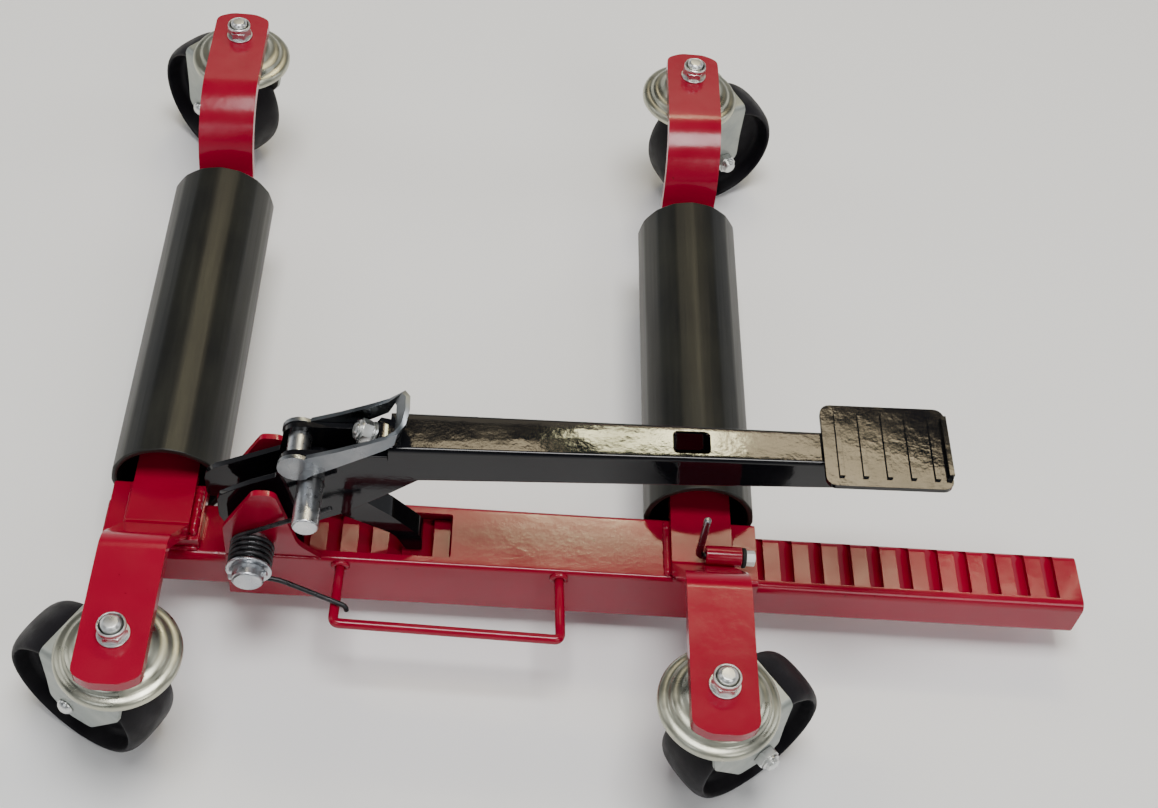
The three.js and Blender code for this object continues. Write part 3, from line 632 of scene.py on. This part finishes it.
def axle(tag, spot, body):
    """Axle bolt: domed head on one side of the fork, lock nut on the other."""
    turn = spot @ place(TRAIL, 0, WHEEL_R, ALONG_Y @ Matrix.Rotation(math.pi, 4, "X"))
    s = 29.8  # just outside the fork leg
    head = turned("h", [
        (0, -s - 5.4), (2.4, -s - 5.1), (4.4, -s - 4.2), (5.8, -s - 2.9), (6.6, -s - 1.5), (6.9, -s - 0.6),
        (6.8, -s), (5.9, -s), (5.9, s + 9), *thread(5.9, s + 9.2, s + 12.4, 1.0, 0.35),
        (4.6, s + 12.9), (0, s + 12.9),
    ], turn, 64)
    nut = hex_nut("n", 17.0, s + 0.1, s + 6.8, 5.95, turn)
    collar = turned("c", [
        (5.95, s + 6.4), (7.6, s + 6.4), (7.8, s + 7.0), (7.8, s + 8.6), (7.0, s + 9.6), (5.95, s + 9.6),
    ], turn, 48)
    obj = join(f"axle_fastener_{tag}", head, nut, collar)
    piece(obj, "bolt_zinc", body, replaces=[f"axle_bolt_{tag}"], edge=0.2)


for tag, (x, y, angle, arm_body) in STEM.items():
    fixed = place(x, y, 0)
    swivel = place(x, y, 0, Matrix.Rotation(math.radians(angle), 4, "Z"))
    race_cap(tag, fixed, arm_body)
    stem(tag, fixed, arm_body)
    fork(tag, swivel, f"caster_{tag}")
    axle(tag, swivel, f"caster_{tag}")
    wheel(tag, swivel, f"wheel_{tag}")


# ------------------------------------------------------------------ shafts, pins and spring of the lever
def shaft(name, x, z, profile, material, body, node):
    """A round bar along Y through the layout point (x, z)."""
    obj = turned(name, profile, place(x, 0, z, ALONG_Y), 72)
    piece(obj, material, body, replaces=[node], edge=0)


shaft("main_shaft", *PIVOT, [
    (0, -68.5), (9.8, -68.5), (11.0, -68.2), (12.5, -66.6), (12.5, 31.0), (12.0, 31.5), (0, 31.5),
], "steel", "frame", "pivot_shaft")
shaft("pawl_cross_pin", -95.3, 165, [
    (0, -56.5), (8.2, -56.5), (9.2, -56.2), (10.2, -55.0), (10.2, 17.0), (9.7, 17.5), (0, 17.5),
], "steel", "pedal", "pawl_pin")
shaft("bail_cross_tube", -105, 189, [
    (0, -15.7), (8.5, -15.7), (9.0, -15.2), (9.0, 15.2), (8.5, 15.7), (0, 15.7),
], "steel", "pedal", "bail_shaft")


def spring_points():
    """Points of the leg that follows the pedal pin, and of the coils with the lower leg that stay still."""
    slope = math.radians(32)
    leg_length = 84
    radius, turns, pitch, y = 15.5, 4.389, 4.45, -33.4
    # The coil stays in one plane up to station 18. The still coil starts at station 6. The turning leg takes
    # the stations before 10 and is thinner, so its tail lies inside the still coil as the pedal swings.
    level, still_from, leg_to = 18, 6, 10
    coil = []
    for k in range(361):
        t = slope + math.pi / 2 + 2 * math.pi * turns * k / 360
        advance = pitch * turns * max(0, k - level) / (360 - level)
        coil.append(Vector((
            PIVOT[0] + radius * math.cos(t), y - advance, PIVOT[1] + radius * math.sin(t),
        )))
    top = coil[0] + Vector((math.cos(slope), 0, math.sin(slope))) * leg_length
    knee = coil[-1] + Vector((24, 0, -2.6))
    hook = Vector((-67, -71, 82.45))
    bend = [coil[-1].lerp(knee, 0.8), knee.lerp(coil[-1], 0.06).lerp(hook, 0.03), knee.lerp(hook, 0.12)]
    curl = [Vector((-65.4, -71.6, 82.0)), Vector((-64.0, -72.6, 80.2)), Vector((-63.6, -73.2, 77.6))]
    leg = [top, coil[0].lerp(top, 0.5)] + coil[:leg_to]
    return leg, coil[still_from:] + bend + [hook] + curl


leg_points, coil_points = spring_points()
spring = rod("torsion_coil", coil_points, 2.05, 16, dome=0.5)
piece(spring, "spring_wire", "frame", replaces=["torsion_spring"], edge=0)
spring_leg = rod("torsion_leg", leg_points, 1.88, 16, dome=0.5)
piece(spring_leg, "spring_wire", "pedal", edge=0)

washer = turned("coil_washer", [
    (12.7, -58.0), (17.6, -58.0), (18.0, -57.6), (18.0, -56.0), (17.6, -55.6), (12.7, -55.6),
], place(PIVOT[0], 0, PIVOT[1], ALONG_Y), 72)
piece(washer, "steel", "frame", replaces=["spring_washer"], edge=0)
roll_pin = rod("coil_roll_pin", [
    (PIVOT[0] - 15, -61.8, PIVOT[1] - 4), (PIVOT[0] + 15, -61.8, PIVOT[1] + 4),
], 2.2, 20, dome=0.5)
piece(roll_pin, "steel", "frame", edge=0)


# ------------------------------------------------------------------ stud with washers and lock nut
def pedal_stud():
    """The leaning stud of the lever head with two washers and a lock nut."""
    lean = place(-40, 0, 208.1, Matrix.Rotation(-math.radians(63), 4, "Y"))
    s = 9.4  # where the wide washer starts along the stud
    shank = turned("s", [
        (0, 0.5), (4.7, 0.5), (5.0, 0.8), (5.0, s + 11), *thread(5.0, s + 11.2, s + 15, 1.25, 0.4),
        (3.9, s + 15.8), (0, s + 15.8),
    ], lean, 56)
    wide = turned("w", [
        (5.1, s), (9.7, s), (10.0, s + 0.3), (10.0, s + 1.7), (9.7, s + 2), (5.1, s + 2),
    ], lean, 64)
    narrow = turned("v", [
        (5.1, s + 2.05), (8.9, s + 2.05), (9.2, s + 2.4), (9.2, s + 3.4), (8.9, s + 3.7), (5.1, s + 3.7),
    ], lean, 64)
    nut = hex_nut("n", 17.0, s + 3.75, s + 11.5, 5.05, lean)
    collar = turned("c", [
        (5.05, s + 11), (7.6, s + 11), (7.9, s + 11.6), (7.9, s + 13.2), (7.0, s + 14), (5.05, s + 14),
    ], lean, 56)
    obj = join("yoke_stud", shank, wide, narrow, nut, collar)
    piece(obj, "bolt_zinc", "pedal", replaces=["pedal_bolt"], edge=0.2)


pedal_stud()


# ------------------------------------------------------------------ carry handle and latch
def bent(corners, radius, steps=10):
    """Points along straight runs whose corners are rounded."""
    points = [Vector(c) for c in corners]
    out = [points[0]]
    for before, here, after in zip(points, points[1:], points[2:]):
        start = here + (before - here).normalized() * radius
        stop = here + (after - here).normalized() * radius
        for k in range(steps + 1):
            t = k / steps
            out.append(start * (1 - t) ** 2 + here * (2 * t * (1 - t)) + stop * t * t)
    out.append(points[-1])
    return out


handle_line = bent([(-72.5, -30.2, 76), (-73.5, -84, 76), (106, -88, 76), (104, -30.2, 76)], 5.5)
handle = rod("handle_rod", handle_line, 4.0, 28)
piece(handle, "red_paint", "frame", replaces=["carry_handle"], edge=0)

latch_line = bent([(262, LATCH_Y, LATCH_Z), (215, LATCH_Y, LATCH_Z), (215, LATCH_Y, 152)], 6)
latch = rod("latch_hook", latch_line, 3.0, 24, dome=2.0)
piece(latch, "bail_zinc", "latch", replaces=["latch_rod"], edge=0)
# The sleeve sits 0.7 mm above the rod's axis, so the rod cuts about 0.3 mm into its bore.
sleeve = turned("latch_barrel", [
    (3.4, 220.4), (7.6, 220.4), (8.2, 221.1), (8.2, 249.2), (7.6, 249.9), (3.4, 249.9),
], place(0, LATCH_Y, LATCH_Z + 0.7, ALONG_X), 56)
piece(sleeve, "red_paint", "frame", replaces=["latch_sleeve"], edge=0)
grommet = turned("latch_grommet", [
    (3.3, 250.3), (7.6, 250.3), (8.3, 251.0), (8.3, 252.9), (7.6, 253.6), (3.3, 253.6),
], place(0, LATCH_Y, LATCH_Z, ALONG_X), 56)
piece(grommet, "rubber", "latch", replaces=["latch_washer"], edge=0)
nut = hex_nut("latch_lock_nut", 11.0, 254.0, 261.0, 3.1, place(0, LATCH_Y, LATCH_Z, ALONG_X))
piece(nut, "bolt_zinc", "latch", replaces=["latch_nut"], edge=0.2)


# ------------------------------------------------------------------ weld beads
def bead(name, points, body, radius=2.4, step=1.5):
    """A weld bead with ripples along a polyline."""
    points = [Vector(p) for p in points]
    fine = []
    for a, b in zip(points, points[1:]):
        count = max(2, int((b - a).length / step))
        fine += [a.lerp(b, k / count) for k in range(count)]
    fine.append(points[-1])
    radii = [
        radius * (1 + 0.10 * math.sin(2.1 * k) + 0.06 * math.sin(0.83 * k + 1))
        for k in range(len(fine))
    ]
    radii[0] = radii[-1] = radius * 0.35
    radii[1] = radii[-2] = radius * 0.8
    piece(rod(name, fine, radii, 12), "red_paint", body, edge=0)


bead("weld_right_arm_near", [(196, -29.5, 82.6), (243, -29.5, 82.6)], "frame")
bead("weld_right_arm_left", [(192.2, -27, 83.0), (192.2, 27, 83.0)], "frame", radius=3.4)
bead("weld_right_arm_right", [(244.8, -26, 82.8), (244.8, 26, 82.8)], "frame")
bead("weld_bracket_near_out", [(-160, -30.0, 82.8), (-90, -30.0, 82.8)], "frame", radius=1.8)
bead("weld_bracket_near_in", [(-160, -24.4, 82.8), (-90, -24.4, 82.8)], "frame", radius=1.8)
bead("weld_bracket_far_in", [(-160, 24.4, 82.8), (-90, 24.4, 82.8)], "frame", radius=1.8)
bead("weld_arm_left_right", [(-191.6, -15, 83.6), (-191.6, 32, 83.6)], "slider", radius=3.8)
bead("weld_arm_left_left", [(-246.4, -16, 84.0), (-246.4, 34, 84.0)], "slider", radius=1.8)
bead("weld_plate_near", [(-258, -19.8, 71.8), (-188, -19.8, 71.8)], "slider", radius=2.2)
for tag, x in (("left", -72.5), ("right", 104.0)):
    ring = [
        (x + 5.4 * math.cos(a), -31.2, 76 + 4.8 * math.sin(a))
        for a in (2 * math.pi * k / 24 for k in range(25))
    ]
    bead(f"weld_handle_{tag}", ring, "frame", radius=2.3, step=0.8)
bead("weld_latch", [(221, -10.6, 94.0), (249, -10.6, 94.0)], "frame", radius=1.6)


# ------------------------------------------------------------------ floor, light and camera
def floor():
    """A wide sheet of pale paper, drawn as stage and not as a piece."""
    mesh = bpy.data.meshes.new("studio_floor")
    size = 9.0  # metres from the middle to each edge
    corners = [(-size, -size, 0), (size, -size, 0), (size, size, 0), (-size, size, 0)]
    mesh.from_pydata(corners, [], [(0, 1, 2, 3)])
    obj = bpy.data.objects.new("studio_floor", mesh)
    bpy.context.scene.collection.objects.link(obj)
    mat = bpy.data.materials.new("floor_paper")
    mat.use_nodes = True
    bsdf = mat.node_tree.nodes["Principled BSDF"]
    bsdf.inputs["Base Color"].default_value = (0.93, 0.93, 0.93, 1)
    bsdf.inputs["Roughness"].default_value = 0.9
    mesh.materials.append(mat)


def area_light(name, location, target, size, power, color=(1, 1, 1)):
    data = bpy.data.lights.new(name, "AREA")
    data.shape = "RECTANGLE"
    data.size, data.size_y = size
    data.energy = power
    data.color = color
    obj = bpy.data.objects.new(name, data)
    obj.location = location
    obj.rotation_euler = (Vector(target) - Vector(location)).to_track_quat("-Z", "Y").to_euler()
    bpy.context.scene.collection.objects.link(obj)


def studio_world():
    """Pale near the horizon and dim overhead, so that level faces keep their colour."""
    world = bpy.data.worlds.new("studio")
    world.use_nodes = True
    tree = world.node_tree
    coords = tree.nodes.new("ShaderNodeTexCoord")
    split = tree.nodes.new("ShaderNodeSeparateXYZ")
    fade = tree.nodes.new("ShaderNodeMapRange")
    fade.inputs["From Min"].default_value = 0.02
    fade.inputs["From Max"].default_value = 0.40
    fade.inputs["To Min"].default_value = 0.85
    fade.inputs["To Max"].default_value = 0.09
    tree.links.new(coords.outputs["Generated"], split.inputs["Vector"])
    tree.links.new(split.outputs["Z"], fade.inputs["Value"])
    tree.links.new(fade.outputs["Result"], tree.nodes["Background"].inputs["Strength"])
    tree.nodes["Background"].inputs["Color"].default_value = (0.93, 0.96, 1.0, 1)
    bpy.context.scene.world = world


floor()
studio_world()
WARM = (1.0, 0.82, 0.52)
# The four high lamps behind the object give the warm shine on its upper faces. The rest are broad and soft.
area_light("window_right", (1.27, 2.44, 4.0), (0.15, -0.19, 0.08), (2.04, 0.22), 22, WARM)
area_light("window_left", (-0.32, 2.44, 4.0), (-0.17, -0.19, 0.08), (0.44, 0.22), 4, WARM)
area_light("window_core", (0.31, 2.70, 4.0), (0.1, -0.19, 0.22), (0.54, 0.13), 14, (1.0, 0.94, 0.55))
area_light("far_ceiling", (-0.15, 3.85, 4.0), (0.0, 0.1, 0.1), (2.6, 1.5), 19, (1.0, 0.86, 0.62))
area_light("soft_top", (0.0, -0.3, 3.4), (0, 0, 0), (1.5, 1.2), 92, (1.0, 0.99, 0.97))
area_light("soft_front_left", (-1.5, -2.3, 2.3), (0, 0, 0), (1.3, 1.3), 12, (0.93, 0.96, 1.0))
area_light("soft_front_right", (1.4, -2.3, 2.4), (0, 0, 0), (1.3, 1.3), 22, (1.0, 0.99, 0.96))
area_light("soft_right", (2.7, 0.3, 2.0), (0, 0, 0), (1.0, 1.6), 12)
area_light("soft_left", (-2.7, 0.3, 2.0), (0, 0, 0), (1.0, 1.6), 10)

camera_data = bpy.data.cameras.new("camera")
camera_data.lens = 51.353
camera_data.sensor_width = 36.0
camera = bpy.data.objects.new("camera", camera_data)
camera.location = (-0.09675, -0.94015, 1.21132)
camera.rotation_euler = [math.radians(a) for a in (38.3869, -5.4289, 0.5065)]
bpy.context.scene.collection.objects.link(camera)
bpy.context.scene.camera = camera
